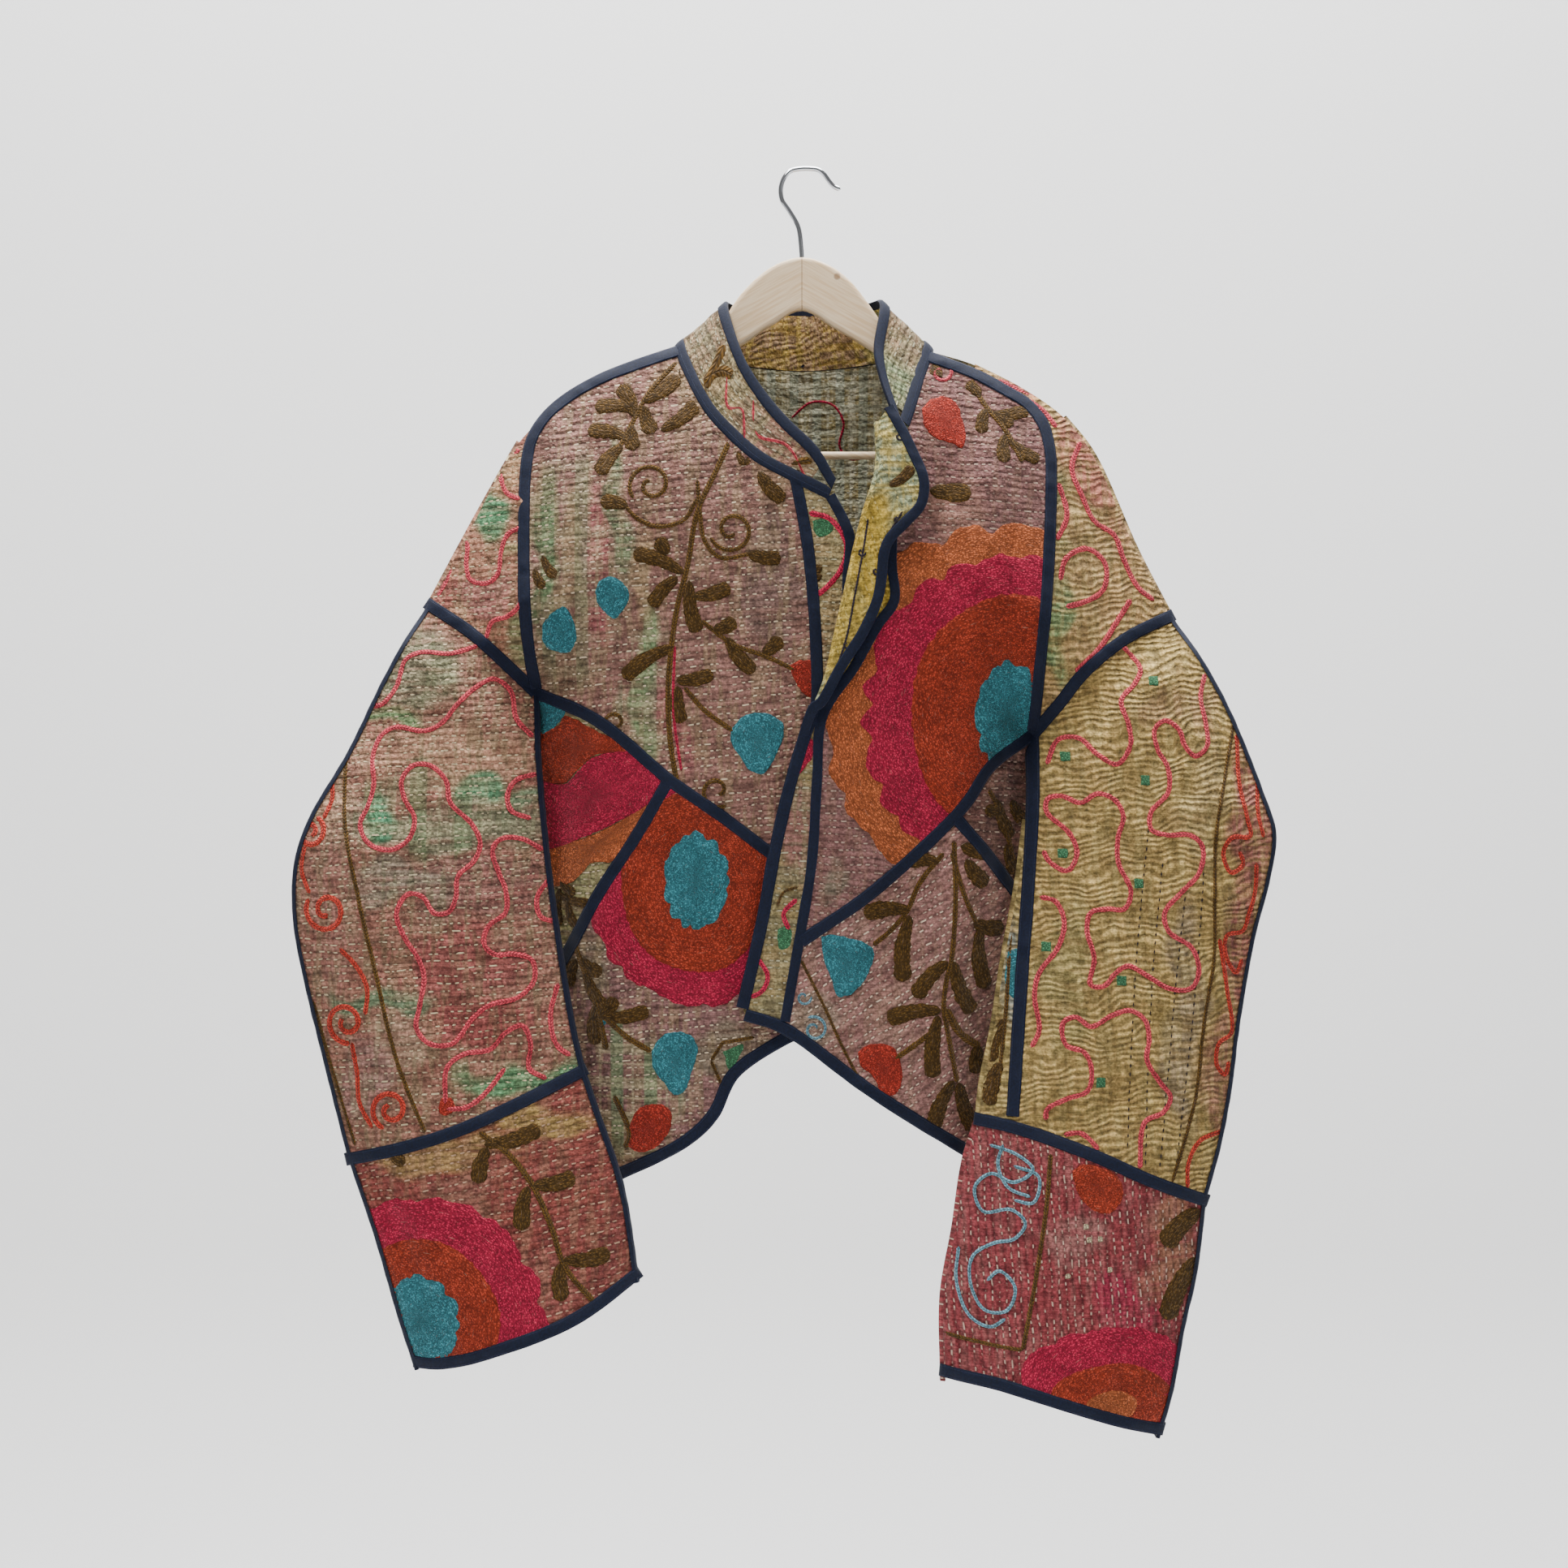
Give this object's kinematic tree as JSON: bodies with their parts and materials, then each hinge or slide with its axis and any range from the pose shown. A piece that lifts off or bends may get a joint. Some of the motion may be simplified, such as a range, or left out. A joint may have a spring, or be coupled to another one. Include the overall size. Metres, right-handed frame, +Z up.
{
  "type": "kantha jacket on hanger",
  "caption": "Cropped quilted patchwork jacket with dropped shoulders, a stand collar and navy tape on its seams, hanging on a wooden hanger.",
  "frame": {"origin": "the inside top of the hanger's hook, where a rail carries it", "axes": "+Z up, -Y out of the jacket's front, +X toward the wearer's left"},
  "size_m": [0.7412, 0.1779, 0.9585],
  "materials": {
    "front_cloth": "quilted, embroidered",
    "sleeve_cloth": "quilted, checked",
    "cuff_cloth": "quilted, embroidered",
    "back_cloth": "quilted, checked",
    "navy_tape": "plain weave",
    "wood": "satin",
    "steel": "polished"
  },
  "bodies": {
    "root": {"back_panel": "back_cloth", "bind_armhole_back_l": "navy_tape", "bind_armhole_back_r": "navy_tape", "bind_armhole_l": "navy_tape", "bind_armhole_r": "navy_tape", "bind_branch_l": "navy_tape", "bind_branch_r": "navy_tape", "bind_collar_top": "navy_tape", "bind_cuff_l": "navy_tape", "bind_cuff_r": "navy_tape", "bind_diagonal_l": "navy_tape", "bind_diagonal_r": "navy_tape", "bind_drop_l": "navy_tape", "bind_drop_r": "navy_tape", "bind_edge_l": "navy_tape", "bind_edge_r": "navy_tape", "bind_hem_back": "navy_tape", "bind_hem_l": "navy_tape", "bind_hem_r": "navy_tape", "bind_inner_cuff_r": "navy_tape", "bind_inner_l": "navy_tape", "bind_inner_r": "navy_tape", "bind_neck": "navy_tape", "bind_outer_cuff_l": "navy_tape", "bind_outer_cuff_r": "navy_tape", "bind_outer_l": "navy_tape", "bind_outer_r": "navy_tape", "bind_placket_l": "navy_tape", "bind_placket_r": "navy_tape", "bind_side_l": "navy_tape", "bind_side_r": "navy_tape", "bind_wrist_l": "navy_tape", "bind_wrist_r": "navy_tape", "cap_l": "sleeve_cloth", "cap_r": "sleeve_cloth", "collar": "back_cloth", "cuff_back_r": "cuff_cloth", "cuff_front_r": "cuff_cloth", "cuff_l": "cuff_cloth", "front_l_lower": "front_cloth", "front_l_side": "front_cloth", "front_l_upper": "front_cloth", "front_r_lower": "front_cloth", "front_r_side": "front_cloth", "front_r_upper": "front_cloth", "hanger_bar": "wood", "hanger_hook": "steel", "hanger_wood": "wood", "lapel_l": "sleeve_cloth", "placket_l": "sleeve_cloth", "placket_r": "sleeve_cloth", "sleeve_back_l": "sleeve_cloth", "sleeve_back_r": "sleeve_cloth", "sleeve_front_l": "sleeve_cloth", "sleeve_front_r": "sleeve_cloth"}
  },
  "joints": []
}
